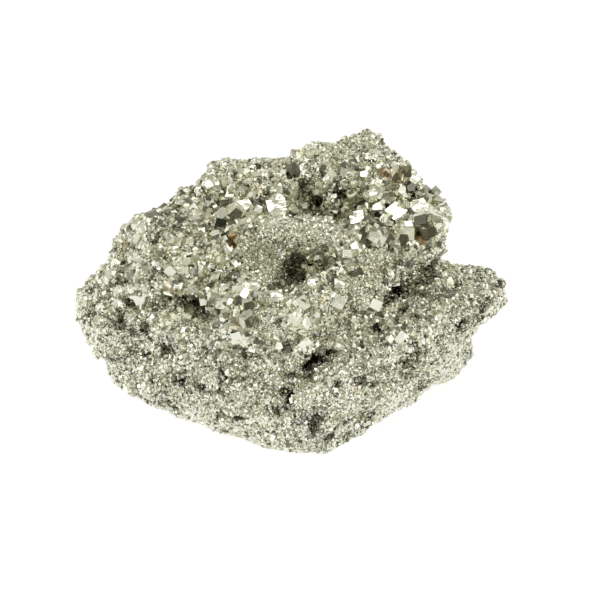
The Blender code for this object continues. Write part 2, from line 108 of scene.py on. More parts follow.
# Cracks and gaps: (across, up), (half width, half height), spin, depth, lean, painted shade.
# The painted shade darkens the colour in the crack, standing in for the shade there. The lean
# is the degrees by which the hollow rises as it goes in. A depth below nought is a swelling.
CREVICES = {
    "pit": ((-1.2, 4.6), (3.2, 3.9), -14, 2.8, 0, 0.35),
    "pit_left": ((-3.1, 3.2), (1.4, 2.3), -20, 1.6, 0, 0.6),
    "pit_top": ((0.6, 7.6), (2.4, 1.1), -8, 1.6, 0, 0.5),
    "under_nose": ((3.7, -11.0), (4.2, 1.5), 26, 2.8, 20, 0.85),
    "under_nose_low": ((2.2, -12.2), (1.8, 1.2), 30, 2.4, 20, 0.9),
    "under_nose_tip": ((-1.6, -14.0), (2.2, 0.6), 6, 1.6, 20, 0.8),
    "crack": ((-2.2, -18.8), (0.9, 1.9), -22, 3.0, 10, 1.0),
    "crack_foot": ((-1.4, -21.4), (0.5, 1.6), 12, 1.6, 10, 0.6),
    "lip_fill": ((18.8, 4.6), (6.4, 2.6), 40, -2.8, 0, 0),
    "under_lobe": ((17.6, 1.2), (4.0, 1.2), 40, 3.4, 30, 0.95),
    "under_lobe_band": ((22.2, 2.0), (4.6, 1.6), 46, 0.8, 20, 0.4),
    "under_lobe_side": ((22.6, 1.4), (0.9, 2.4), 20, 1.6, 10, 0.7),
    "under_lobe_top": ((24.4, 6.6), (2.4, 0.8), 44, 1.8, 30, 0.7),
    "ring": ((14.4, -5.4), (0.9, 1.9), -16, 2.0, 10, 0.9),
    "ring_top": ((12.6, -2.2), (1.9, 1.0), 10, 1.4, 10, 0.6),
    "ring_side": ((18.9, -2.0), (2.0, 0.9), 50, 1.8, 10, 0.8),
    "flank": ((-18.6, -1.8), (4.0, 1.6), -34, 2.8, 26, 0.8),
    "flank_left": ((-23.0, 0.4), (3.0, 0.9), -10, 1.8, 20, 0.7),
    "flank_low": ((-24.6, -8.8), (2.2, 1.0), -40, 1.8, 20, 0.8),
    "flank_end": ((-28.6, -6.2), (1.4, 0.7), -30, 1.6, 20, 0.8),
    "step_left": ((-21.6, -14.9), (3.2, 0.7), 12, 2.2, 34, 0.9),
    "step_left_low": ((-18.4, -15.9), (1.6, 0.6), -10, 1.8, 34, 0.7),
    "step_mid": ((-10.6, -9.6), (2.4, 0.8), -44, 1.8, 20, 0.8),
    "step_mid_low": ((-11.6, -14.4), (2.8, 0.5), 6, 1.6, 20, 0.7),
    "saddle_gap": ((-1.4, 16.2), (1.2, 1.2), 0, 2.8, 0, 0.9),
    "saddle_cleft": ((3.2, 17.6), (1.0, 2.6), -22, 3.0, 0, 0.8),
    "basin_gap": ((20.4, 19.6), (0.9, 1.8), 30, 2.4, 0, 0.8),
    "basin_low": ((12.2, 10.4), (2.8, 0.7), -20, 1.8, 0, 0.6),
    "under_nose_fill": ((-7.4, -11.0), (5.6, 2.2), -14, -1.2, 0, 0),
}

# Chief crystals: (across, up), size across, the way the main face looks as (degrees right
# of the eye, degrees above the eye), spin about that face, habit, tone, stain.
CHIEF_CRYSTALS = {
    "square_pale": ((9.7, 18.9), 3.0, (-14, 22), 12, "pyritohedron", 0.6, 0),
    "wedge_pale": ((13.2, 18.9), 3.2, (10, 24), 40, "pyritohedron", 0.6, 0),
    "basin_heart": ((16.4, 19.2), 4.2, (4, 12), 20, "pyritohedron", 0.5, 0),
    "basin_mirror": ((17.6, 16.0), 3.2, (-4, 30), 45, "cube", 1.0, 0),
    "basin_side": ((20.0, 16.6), 2.4, (24, 20), 70, "pyritohedron", 0.5, 0),
    "lobe_slab": ((22.0, 17.0), 3.0, (4, 26), 25, "cube", 0.6, 0),
    "lobe_tooth": ((23.3, 12.8), 2.8, (4, -3), 30, "cube", 0.0, 0.1),
    "lobe_shard": ((25.0, 14.6), 2.6, (16, 20), 5, "pyritohedron", 0.4, 0),
    "basin_lip_mirror": ((10.6, 14.6), 2.6, (-8, 30), 6, "cube", 1.0, 0),
    "dark_cube": ((12.2, 11.9), 3.2, (-2, -3), 38, "cube", 0.0, 0),
    "basin_floor": ((16.0, 14.8), 2.6, (-24, 6), 15, "pyritohedron", 0.5, 0),
    "grey_twin": ((19.2, 14.4), 2.8, (8, -6), 30, "cube", 0.3, 0),
    "grey_low": ((19.0, 11.4), 2.6, (-8, -6), 55, "pyritohedron", 0.3, 0),
    "crown_gold": ((15.4, 23.4), 2.4, (-10, 6), 20, "pyritohedron", 0.3, 1.0),
    "saddle_rust": ((-5.2, 19.0), 1.4, (0, 12), 10, "cube", 0.5, 1.0),
    "lobe_gold": ((22.4, 10.8), 2.0, (8, 8), 20, "pyritohedron", 0.4, 0.8),
    "edge_gold": ((-32.2, 10.1), 1.3, (-10, 10), 0, "cube", 0.5, 0.7),
    "crown_olive": ((17.6, 22.4), 2.8, (5, 4), 60, "pyritohedron", 0.2, 0.3),
    "crown_broad": ((20.2, 21.8), 3.0, (8, 26), 34, "cube", 0.6, 0),
    "crown_edge": ((19.3, 23.5), 2.2, (6, 3), 10, "cube", 0.15, 0.25),
    "crown_white": ((11.8, 23.0), 2.2, (0, 28), 18, "pyritohedron", 0.9, 0),
    "shoulder_mirror": ((-10.3, 17.4), 3.6, (-6, 30), 10, "pyritohedron", 1.0, 0),
    "shoulder_round": ((-11.8, 15.4), 3.6, (4, -5), 50, "pyritohedron", 0.15, 0.1),
    "shoulder_flat": ((-13.4, 17.4), 2.4, (-8, -3), 0, "cube", 0.1, 0),
    "shoulder_low": ((-14.6, 15.6), 2.2, (-20, 28), 30, "cube", 0.9, 0),
    "saddle_broad": ((-4.3, 16.4), 3.6, (4, 22), 15, "cube", 0.6, 0),
    "saddle_left": ((-7.7, 16.2), 2.4, (-10, 22), 45, "pyritohedron", 0.6, 0),
    "saddle_back": ((-4.0, 18.3), 2.6, (10, 26), 70, "pyritohedron", 0.6, 0),
    "hood_dark": ((-11.9, 10.6), 2.4, (-6, -6), 25, "cube", 0.1, 1.0),
    "hood_grey": ((-15.4, 11.4), 2.6, (9, -2), 35, "pyritohedron", 0.4, 0),
    "flank_cube": ((-17.6, -0.5), 2.4, (-6, 20), 8, "cube", 0.6, 0),
    "flank_twin": ((-15.6, 0.0), 2.0, (12, 14), 2, "cube", 0.6, 0),
    "flank_dark": ((-13.5, 3.4), 2.0, (3, -5), 4, "cube", 0.0, 0),
    "flank_mirror": ((-13.9, 1.8), 2.2, (-10, 30), 60, "pyritohedron", 1.0, 0),
    "nose_dark": ((-9.6, -1.0), 2.8, (4, -3), 22, "pyritohedron", 0.0, 0),
    "nose_ring": ((-12.2, -3.8), 2.6, (-4, 10), 0, "pyritohedron", 0.4, 0.35),
    "nose_big": ((-9.2, -3.8), 3.4, (8, -4), 50, "pyritohedron", 0.1, 0),
    "nose_top": ((-8.8, 2.3), 2.4, (0, 22), 30, "cube", 0.6, 0),
    "nose_mid": ((-4.4, 0.4), 2.2, (8, 24), 12, "cube", 0.6, 0),
    "nose_mirror": ((-4.0, -7.9), 2.2, (0, 30), 40, "pyritohedron", 1.0, 0),
    "pit_heart": ((0.2, 5.4), 1.8, (6, 16), 20, "pyritohedron", 0.6, 0),
    "pit_glint": ((1.8, 3.2), 1.3, (0, 26), 10, "cube", 0.9, 0),
    "pit_floor": ((-1.6, 3.4), 1.5, (-8, 12), 40, "pyritohedron", 0.5, 0),
    "pit_roof": ((5.2, 7.6), 2.6, (-8, -4), 20, "cube", 0.1, 0),
    "pit_white": ((10.1, 9.8), 2.2, (-4, 28), 35, "pyritohedron", 0.9, 0),
    "pit_mirror": ((6.7, 5.1), 2.0, (-6, 30), 15, "pyritohedron", 1.0, 0),
    "pit_dark": ((10.6, 4.6), 2.2, (4, -4), 45, "cube", 0.1, 0),
    "pit_rim": ((7.2, 2.7), 1.8, (0, 22), 0, "cube", 0.6, 0),
    "tail_long": ((7.7, -0.1), 2.4, (-8, 20), 60, "cube", 0.6, 0),
}


# --- Settings -----------------------------------------------------------------------------
class SpecimenCrust(bpy.types.PropertyGroup):
    """Sizes of the matrix and its crust."""

    grid: bpy.props.FloatProperty(
        name="Matrix grid", description="Spacing of the matrix's mesh",
        default=0.48 * MM, unit="LENGTH",
    )
    sink: bpy.props.FloatProperty(
        name="Sink", description="Depth of the matrix under the solid, in crystal sizes",
        default=0.62, subtype="FACTOR",
    )
    coverage: bpy.props.FloatProperty(
        name="Coverage", description="Scale on the number of crystals in each layer",
        default=1.0, min=0.1, max=3.0,
    )
    seed: bpy.props.IntProperty(
        name="Seed", description="Start of the random draws", default=11,
    )


class SpecimenFinish(bpy.types.PropertyGroup):
    """Colours of the pyrite, and the colour of its painted shade."""

    bright: bpy.props.FloatVectorProperty(
        name="Bright face", description="Colour of a clean crystal face",
        default=(0.91, 0.91, 0.81), subtype="COLOR", min=0.0, max=1.0,
    )
    dull: bpy.props.FloatVectorProperty(
        name="Dull face", description="Colour of a tarnished crystal face",
        default=(0.72, 0.72, 0.56), subtype="COLOR", min=0.0, max=1.0,
    )
    rust: bpy.props.FloatVectorProperty(
        name="Rust", description="Colour of an iron-stained crystal face",
        default=(0.50, 0.28, 0.08), subtype="COLOR", min=0.0, max=1.0,
    )
    # The colour that painted shade darkens towards: in crevices, creases, pits, between lumps,
    # on dark specks and on the darkest chief crystals.
    soot: bpy.props.FloatVectorProperty(
        name="Soot", description="Colour of what fills the crevices",
        default=(0.042, 0.04, 0.022), subtype="COLOR", min=0.0, max=1.0,
    )
    # The matrix colour is set darker than the crystals' faces: partly the matrix's own colour,
    # partly painted shade in the gaps between crystals.
    matrix: bpy.props.FloatVectorProperty(
        name="Matrix", description="Colour of the matrix between the crystals",
        default=(0.355, 0.36, 0.27), subtype="COLOR", min=0.0, max=1.0,
    )


class SpecimenStudio(bpy.types.PropertyGroup):
    """Floor, lights and room."""

    floor: bpy.props.FloatVectorProperty(
        name="Floor", description="Colour of the floor",
        default=(0.15, 0.15, 0.15), subtype="COLOR", min=0.0, max=1.0,
    )
    glow: bpy.props.FloatProperty(
        name="Glow", description="Light that comes up through the floor",
        default=0.93, min=0.0, max=2.0,
    )
    sky: bpy.props.FloatProperty(
        name="Sky", description="Brightness of the room above the floor",
        default=0.94, min=0.0, max=4.0,
    )
    dusk: bpy.props.FloatVectorProperty(
        name="Dusk", description="Colour of the room where it is dark",
        default=(1.0, 0.97, 0.70), subtype="COLOR", min=0.0, max=1.0,
    )
    contrast: bpy.props.FloatProperty(
        name="Contrast", description="Unevenness of the room's brightness",
        default=0.65, min=0.0, max=1.0,
    )
    key: bpy.props.FloatProperty(
        name="Key light", description="Power of the softbox overhead",
        default=0.4, unit="POWER", min=0.0,
    )
    fill: bpy.props.FloatProperty(
        name="Side light", description="Power of the softbox on each side",
        default=0.5, unit="POWER", min=0.0,
    )


# --- The picture plane ----------------------------------------------------------------------
def sight_axes():
    """Unit vectors across, up and towards the eye: up and towards are +Z and -Y turned
    about X by the view's tilt."""
    tilt = math.radians(VIEW_TILT)
    across = np.array((1.0, 0.0, 0.0))
    up = np.array((0.0, math.sin(tilt), math.cos(tilt)))
    towards = np.array((0.0, -math.cos(tilt), math.sin(tilt)))
    return across, up, towards


def seen(points):
    """(across, up) of points in perspective: the offset from the aim point along each axis,
    times reach over reach less the offset towards the eye."""
    across, up, towards = sight_axes()
    offset = points - AIM
    shrink = VIEW_REACH / (VIEW_REACH - offset @ towards)
    return np.stack([offset @ across * shrink, offset @ up * shrink], axis=1)


def ellipse_reach(picture, place, half_sizes, spin):
    """Squared distance of picture points from an ellipse's middle, in its own half sizes,
    and the ellipse's spin in radians: it is 1 on the rim."""
    spin = math.radians(spin)
    away = picture - place
    along = away[:, 0] * math.cos(spin) + away[:, 1] * math.sin(spin)
    above = away[:, 1] * math.cos(spin) - away[:, 0] * math.sin(spin)
    return (along / half_sizes[0]) ** 2 + (above / half_sizes[1]) ** 2, spin


def facing_direction(right, above):
    """The direction that looks right of and above the eye by these degrees."""
    across, up, towards = sight_axes()
    yaw, pitch = math.radians(right), math.radians(above)
    level = towards * math.cos(yaw) + across * math.sin(yaw)
    return level * math.cos(pitch) + up * math.sin(pitch)


def ease(low, high, values):
    """Goes from 0 at low to 1 at high as 3t2 - 2t3."""
    share = np.clip((values - low) / (high - low), 0, 1)
    return share * share * (3 - 2 * share)


# --- Noise ----------------------------------------------------------------------------------
NOISE_SHIFT = 1000.0  # keeps the cells' numbers above nought


def lattice_value(cell, seed):
    """A value from -1 to 1 for each whole-numbered cell: its coordinates and the seed, each
    times a large odd number, are summed, and the bits stirred by shifts and products."""
    mix = (
        cell[:, 0] * np.uint32(374761393)
        + cell[:, 1] * np.uint32(668265263)
        + cell[:, 2] * np.uint32(2246822519)
        + np.uint32(seed * 3266489917 % 2**32)
    )
    mix = (mix ^ (mix >> np.uint32(13))) * np.uint32(1274126177)
    mix = (mix ^ (mix >> np.uint32(15))) * np.uint32(2654435761)
    mix = mix ^ (mix >> np.uint32(16))
    return mix.astype(float) / 2**31 - 1


def smooth_noise(points, wavelength, seed):
    """Value noise: the lattice values at a cell's eight corners, blended along each axis by
    3t2 - 2t3 of the place in the cell."""
    scaled = points / wavelength + NOISE_SHIFT
    cell = np.floor(scaled).astype(np.int64)
    share = scaled - cell
    share = share * share * (3 - 2 * share)
    total = np.zeros(len(points))
    for corner in np.ndindex(2, 2, 2):
        pull = np.prod(np.where(corner, share, 1 - share), axis=1)
        total += pull * lattice_value((cell + corner).astype(np.uint32), seed)
    return total


def swing(points, wavelength, height, seed):
    """Smooth noise, times this height."""
    return height * smooth_noise(points, wavelength, seed)


# --- Meshes ---------------------------------------------------------------------------------
def points_of(mesh):
    """A mesh's points, in millimetres."""
    points = np.empty(len(mesh.vertices) * 3, np.float32)
    mesh.vertices.foreach_get("co", points)
    return points.reshape(-1, 3).astype(float) / MM


def normals_of(mesh):
    normals = np.empty(len(mesh.vertices) * 3, np.float32)
    mesh.vertex_normals.foreach_get("vector", normals)
    return normals.reshape(-1, 3).astype(float)


def triangles_of(mesh):
    mesh.calc_loop_triangles()
    corners = np.empty(len(mesh.loop_triangles) * 3, np.int32)
    mesh.loop_triangles.foreach_get("vertices", corners)
    return corners.reshape(-1, 3)


def move_points(mesh, points):
    mesh.vertices.foreach_set("co", (points * MM).astype(np.float32).ravel())
    mesh.update()


def add_values(mesh, name, values):
    layer = mesh.attributes.new(name, "FLOAT", "POINT")
    layer.data.foreach_set("value", values.astype(np.float32))


def add_object(name, mesh, material):
    """Puts a piece in the scene: it rides on the specimen's one body."""
    obj = bpy.data.objects.new(name, mesh)
    bpy.context.scene.collection.objects.link(obj)
    mesh.materials.clear()
    mesh.materials.append(material)
    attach(obj, "root")
    return obj


def welded_solid():
    """A copy of the solid's mesh with its loose triangles merged."""
    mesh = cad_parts[SOLID].data.copy()
    bm = bmesh.new()
    bm.from_mesh(mesh)
    bmesh.ops.remove_doubles(bm, verts=bm.verts[:], dist=1e-6)
    bm.to_mesh(mesh)
    bm.free()
    return mesh


def surface_of(mesh):
    """A tree for rays, over a mesh in metres."""
    return BVHTree.FromPolygons(
        [vert.co for vert in mesh.vertices], [face.vertices[:] for face in mesh.polygons]
    )


# --- The matrix -----------------------------------------------------------------------------
ROUNDING = 4  # smoothing passes over the solid's facets
SWELLS = ((4.5, 0.3, 1), (1.2, 0.14, 3))  # wavelength, height, seed
UPPER_SWING = (6.0, 2.0, 5)  # the same, of the edge of the upper mass
GRAIN_SWING = (3.0, 0.15, 6)  # and of the size of the grains, as a share
RAGGED = ((1.5, 0.9, 9), (1.5, 0.9, 10))  # and of the crevices' rims, across and up
ZONE_EDGE = 0.55  # value of 1 - r2 from which a druse zone has its full weight
SHADE_EDGE = 0.5  # share of a crevice's depth from which it has its full painted shade
LUMPS = (2.4, 2)  # wavelength and seed of the rounded lumps
LUMP_HEIGHT = 0.9
LUMP_LEVEL = 0.25  # noise value at which a lump is level with the skin
LUMP_GAP = 0.085  # noise value up to which a point lies between two lumps
LUMP_SHADE = 0.6  # painted shade of what lies there, in the upper mass
PITS = (2.1, 4)  # wavelength and seed of the strewn pits
PIT_DEPTH = 1.1
PITTED_FROM = (0.42, 0.8)  # noise values between which a pit reaches its depth
SATIN = (0.31, 0.37)  # sizes of the grains up to which no pit or crease is cut
CREASE_LINES = (2.4, 7)  # wavelength and seed of the creases
CREASE_STRETCH = (0.26, 0.6, 1.2)  # on each axis, before the noise
CREASE_PATCHES = (8.0, 8)  # wavelength and seed of the patches that have them
CREASED_FROM = (-0.2, 0.2)  # noise values between which a patch gets them
CREASE_WIDTH = 0.12  # in noise values
CREASE_DEPTH = 1.0
# Painted shade in the creases and pits: their colour is darkened towards the shade colour.
CREASE_SHADE = 0.8
UPPER_CALM = 0.7  # share by which creases are weaker in the upper mass
LEAST_SINK = 0.1
FULLY_FACING = 0.35  # cosine to the line of sight from which a zone has its full weight
RESTING = 0.4  # the matrix stays flat on the floor below this height
FOOT = 2.0  # height from which pits and creases have their full depth


def druse(points, normals):
    """The local size of the grains and the share under strewn crystals. They ease from the
    lower mass's to the upper mass's with height. Each zone then draws them to its own by
    1 - r2, r being 1 on its rim, times how squarely the skin faces the eye."""
    facing = np.clip(normals @ sight_axes()[2] / FULLY_FACING, 0, 1)
    upper = ease(*UPPER_FROM, points[:, 2] + swing(points, *UPPER_SWING))
    size, strewn = (low + (high - low) * upper for low, high in zip(LOWER_DRUSE, UPPER_DRUSE))
    size += (REAR_SIZE - size) * (1 - facing)
    picture = seen(points)
    for place, half_sizes, spin, own_size, own_strewn in DRUSE_ZONES.values():
        reach, _ = ellipse_reach(picture, place, half_sizes, spin)
        weight = ease(0, ZONE_EDGE, 1 - reach) * facing
        size += (own_size - size) * weight
        strewn += (own_strewn - strewn) * weight
    return size * (1 + swing(points, *GRAIN_SWING)), strewn


def crevices(points, normals):
    """The moves of the crevices and their painted shade, a darkening of the colour that stands
    in for the shade in them: each is a dome 1 - r2 on its ellipse, inwards along the line of
    sight leaned up by its lean, times how squarely the skin faces the eye. Two noises push the
    ellipses' rims about."""
    across, up, towards = sight_axes()
    picture = seen(points) + np.column_stack([swing(points, *row) for row in RAGGED])
    facing = np.clip(normals @ towards / FULLY_FACING, 0, 1)
    moves, grime = np.zeros(points.shape), np.zeros(len(points))
    for place, half_sizes, spin, depth, lean, own_shade in CREVICES.values():
        reach, turn = ellipse_reach(picture, place, half_sizes, spin)
        dome = np.clip(1 - reach, 0, 1) * facing
        own_up = up * math.cos(turn) - across * math.sin(turn)
        way = own_up * math.sin(math.radians(lean)) - towards * math.cos(math.radians(lean))
        moves += (depth * dome)[:, None] * way
        # Painted shade: the colour darkens towards the middle of each crevice.
        grime = np.maximum(grime, own_shade * ease(0, SHADE_EDGE, dome))
    return moves, grime


def creases(points):
    """How deep in a crease each point is: 1 where a noise drawn out along the bedding crosses
    nought, falling off as a bell, in the patches where a coarser noise is high, and less in
    the upper mass."""
    line = smooth_noise(points * CREASE_STRETCH, *CREASE_LINES)
    patches = ease(*CREASED_FROM, smooth_noise(points, *CREASE_PATCHES))
    upper = ease(*UPPER_FROM, points[:, 2])
    return np.exp(-((line / CREASE_WIDTH) ** 2)) * patches * (1 - UPPER_CALM * upper)


def even_mesh(grid):
    """The solid drawn over with an even grid, and rounded."""
    scrap = bpy.data.objects.new("scrap", welded_solid())
    bpy.context.scene.collection.objects.link(scrap)
    remesh = scrap.modifiers.new("grid", "REMESH")
    remesh.mode = "VOXEL"
    remesh.voxel_size = grid
    smooth = scrap.modifiers.new("round", "SMOOTH")
    smooth.factor = 0.5
    smooth.iterations = ROUNDING
    bpy.context.view_layer.update()
    graph = bpy.context.evaluated_depsgraph_get()
    mesh = bpy.data.meshes.new_from_object(scrap.evaluated_get(graph))
    bpy.data.objects.remove(scrap)
    return mesh


def matrix_mesh(crust):
    """The even mesh sunk along its normals: by the crust's depth, by noise, by the shortfall
    of |noise|, whose lumps meet in creases, and by pits where a noise is highest. What rests
    on the floor stays there. Crevices, creases, pits and the gaps between lumps get painted
    shade: their colour is darkened towards the shade colour."""
    mesh = even_mesh(crust.grid)
    points, normals = points_of(mesh), normals_of(mesh)
    size = druse(points, normals)[0]
    sink = crust.sink * size
    for row in SWELLS:
        sink += swing(points, *row)
    rough = ease(*SATIN, size)
    rise = np.abs(smooth_noise(points, *LUMPS))
    lumpy = ease(*UPPER_FROM, points[:, 2]) * rough
    sink += LUMP_HEIGHT * (1 + lumpy) * (LUMP_LEVEL - rise)
    cut = rough * ease(RESTING, FOOT, points[:, 2])
    pitted = ease(*PITTED_FROM, smooth_noise(points, *PITS)) * cut
    creased = creases(points) * cut
    sink += PIT_DEPTH * pitted + CREASE_DEPTH * creased
    moves, grime = crevices(points, normals)
    sunk = points - normals * np.maximum(sink, LEAST_SINK)[:, None] + moves
    resting = points[:, 2] < RESTING
    sunk[:, 2] = np.where(resting, 0, np.maximum(sunk[:, 2], 0))
    move_points(mesh, sunk)
    # Painted shade in the creases, pits and gaps between lumps, added to the crevices' own.
    in_cuts = CREASE_SHADE * np.maximum(creased, pitted)
    in_gaps = LUMP_SHADE * lumpy * ease(LUMP_GAP, 0, rise)
    add_values(mesh, "grime", np.maximum.reduce([grime, in_cuts, in_gaps]))
    return mesh


# --- Crystals -------------------------------------------------------------------------------
CHIEF_SINK = 0.44  # in sizes, behind where the line of sight meets the solid
CHIEF_ROOT = 0.12  # in sizes, of its centre's least depth in the matrix
CLEARANCE = 0.6  # of a chief crystal's size, in which no other crystal is centred
FARTHEST_CORNER = 1.04  # of any habit from its centre, in sizes
PYRITOHEDRON_SPAN = 2.68  # from face to face, with its cube's corners at 1
CORNER_TILT = 0.35  # of the corners, off the skin's normal
CORNER_RISE = 0.5  # from a corner's feet to its tip, in sizes
LOWER_TONE = 0.2  # added to the tones of the lower mass
UPPER_TONE = -0.1  # and of the upper mass
FINE_SPECKS = 0.055  # share of the fine grains that are dark specks: painted darkness standing in for dark reflections
COARSE_SPECKS = 0.15  # and of the coarse crystals
SPECKED_FROM = (0.4, 1.0)  # sizes between which the one goes over to the other
# How far a dark speck's colour is painted towards the shade colour.
SPECK_DARKNESS = 0.75
SPARED_SHARE = 0.3  # of the crystals in a crevice that are spared most of its painted shade
SPARED_SHADE = 0.15  # their share of its painted shade
DARK_TONE = 0.2  # chief crystals of a lower tone also get painted shade, standing in for the dark their faces reflect
STAINS = (-0.25, 0.22)  # mean and spread of the stains, before they are cut off at nought
LINE_SHIFT = 7.0  # by which a full tone moves a face's lines, so that no two look the same
DRAWS = 3  # for each crystal that there is room for
CELL_STEP = 1.2  # from one width of the thinning cells to the next


def signs(count):
    """All rows of -1 and 1 of this length."""
    return np.array(list(np.ndindex(*(2,) * count))) * 2.0 - 1


def cyclic(rows):
    """The rows, with their values moved round by none, one and two places."""
    return np.concatenate([np.roll(rows, shift, axis=1) for shift in range(3)])


def faces_round(corners, directions):
    """A convex shape's faces: for each direction, the corners that reach furthest along it,
    in order of their angle about it."""
    faces = []
    for direction in directions:
        height = corners @ direction
        on_face = np.flatnonzero(height > height.max() - 1e-6)
        side = np.cross(direction, (0.3, 0.5, 0.8))
        middle = corners[on_face].mean(axis=0)
        offset = corners[on_face] - middle
        length = np.linalg.norm(direction)
        angle = np.arctan2(offset @ np.cross(direction, side) / length, offset @ side)
        faces.append(on_face[np.argsort(angle)])
    return faces


def cube():
    """A cube of side 1."""
    return signs(3) / 2, cyclic(np.array(((1.0, 0, 0), (-1.0, 0, 0))))


def cuboctahedron():
    """A cube of side 1 with its corners cut off to the middles of its edges."""
    pairs = np.insert(signs(2), 2, 0, axis=1)
    return cyclic(pairs) / 2, np.concatenate([cube()[1], signs(3)])


def pyritohedron():
    """The {210} form: a cube's corners and, for each cube face, the two ends of a ridge
    half as far again out and three quarters as long. It is 1 across, from face to face."""
    ridge_ends = np.insert(signs(2) * (0.75, 1.5), 0, 0, axis=1)
    directions = np.insert(signs(2) * (2.0, 1.0), 0, 0, axis=1)
    corners = np.concatenate([signs(3), cyclic(ridge_ends)])
    return corners / PYRITOHEDRON_SPAN, cyclic(directions)


def corner():
    """A worn cube's tip: three sides that meet at +Z, half as high as they are far across,
    closed by one level face."""
    turns = np.radians((0, 120, 240))
    feet = np.stack([np.cos(turns), np.sin(turns), np.full(3, -CORNER_RISE / 2)], axis=1)
    corners = np.concatenate([feet, ((0, 0, CORNER_RISE / 2),)])
    sides = np.stack([-np.cos(turns), -np.sin(turns), np.full(3, 0.5 / CORNER_RISE)], axis=1)
    return corners, np.concatenate([sides, ((0, 0, -1.0),)])


class Habit:
    """A crystal form: its corners, its faces' corners one after another, where each face
    starts, and each face corner's place on its face, for lines that follow the face."""

    def __init__(self, form):
        self.corners, directions = form()
        faces = faces_round(self.corners, directions)
        self.loops = np.concatenate(faces)
        self.starts = np.cumsum([0] + [len(face) for face in faces[:-1]])
        places = []
        for face in faces:
            edge = self.corners[face[1]] - self.corners[face[0]]
            edge = edge / np.linalg.norm(edge)
            normal = np.cross(edge, self.corners[face[2]] - self.corners[face[1]])
            other = np.cross(normal / np.linalg.norm(normal), edge)
            places.append(np.stack([self.corners[face] @ edge, self.corners[face] @ other], 1))
        self.places = np.concatenate(places)


HABITS = {
    "cube": Habit(cube),
    "cuboctahedron": Habit(cuboctahedron),
    "pyritohedron": Habit(pyritohedron),
    "corner": Habit(corner),
}


CRYSTAL = np.dtype([
    ("centre", float, 3), ("size", float), ("turn", float, (3, 3)), ("habit", int),
    ("tone", float), ("stain", float), ("grime", float),
])


def crystal_rows(*columns):
    """Crystals as the rows of a table, from its columns."""
    rows = np.empty(len(columns[0]), CRYSTAL)
    for name, column in zip(CRYSTAL.names, columns):
        rows[name] = column
    return rows


def random_turns(rng, count):
    """Even random rotations: a normal 4-vector made unit is a quaternion, written out as a
    matrix."""
    w, x, y, z = (lambda q: q / np.linalg.norm(q, axis=0))(rng.normal(size=(4, count)))
    rows = [
        1 - 2 * (y * y + z * z), 2 * (x * y - w * z), 2 * (x * z + w * y),
        2 * (x * y + w * z), 1 - 2 * (x * x + z * z), 2 * (y * z - w * x),
        2 * (x * z - w * y), 2 * (y * z + w * x), 1 - 2 * (x * x + y * y),
    ]
    return np.stack(rows, axis=1).reshape(-1, 3, 3)


def upright_turns(rng, outwards, tilt):
    """Rotations that take +Z to the outward directions, each thrown off by this much of a
    normal 3-vector, and spun at random."""
    high = outwards + tilt * rng.normal(size=outwards.shape)
    high /= np.linalg.norm(high, axis=1)[:, None]
    across = np.cross(high, rng.normal(size=high.shape))
    across /= np.linalg.norm(across, axis=1)[:, None]
    return np.stack([across, np.cross(high, across), high], axis=2)


def crystals_mesh(name, crystals):
    """One mesh of all the crystals: each habit's corners, times the size, turned, and added
    to the centre, with the tone, stain and painted shade on every corner and the place on the
    face, in millimetres, as a UV map."""
    points, loops, starts, places = [], [], [], []
    values = {"tone": [], "stain": [], "grime": []}
    point_count = loop_count = 0
    for number, habit in enumerate(HABITS.values()):
        mine = crystals[crystals["habit"] == number]
        per_point, per_loop = len(habit.corners), len(habit.loops)
        size = mine["size"][:, None, None]
        corners = np.einsum("nij,kj->nki", mine["turn"], habit.corners)
        points.append((corners * size + mine["centre"][:, None]).reshape(-1, 3))
        first_point = point_count + per_point * np.arange(len(mine))[:, None]
        first_loop = loop_count + per_loop * np.arange(len(mine))[:, None]
        loops.append((first_point + habit.loops).ravel())
        starts.append((first_loop + habit.starts).ravel())
        shift = mine["tone"][:, None, None] * LINE_SHIFT
        places.append((habit.places * size + shift).reshape(-1, 2))
        for label, held in values.items():
            held.append(np.repeat(mine[label], per_point))
        point_count += per_point * len(mine)
        loop_count += per_loop * len(mine)
    mesh = bpy.data.meshes.new(name)
    mesh.vertices.add(point_count)
    mesh.loops.add(loop_count)
    starts = np.concatenate(starts)
    mesh.polygons.add(len(starts))
    mesh.loops.foreach_set("vertex_index", np.concatenate(loops).astype(np.int32))
    mesh.polygons.foreach_set("loop_start", starts.astype(np.int32))
    move_points(mesh, np.concatenate(points))
    for label, held in values.items():
        add_values(mesh, label, np.concatenate(held))
    uv = mesh.uv_layers.new(name="face")
    uv.uv.foreach_set("vector", np.concatenate(places).astype(np.float32).ravel())
    mesh.validate()
    mesh.shade_flat()
    return mesh


def inside_solid_box(crystals):
    """Moves each centre so that the whole crystal is inside the solid's box."""
    low, high = (np.array(corner) / MM for corner in SOLID_BOX)
    room = FARTHEST_CORNER * crystals["size"][:, None]
    crystals["centre"] = np.clip(crystals["centre"], low + room, high - room)
    return crystals


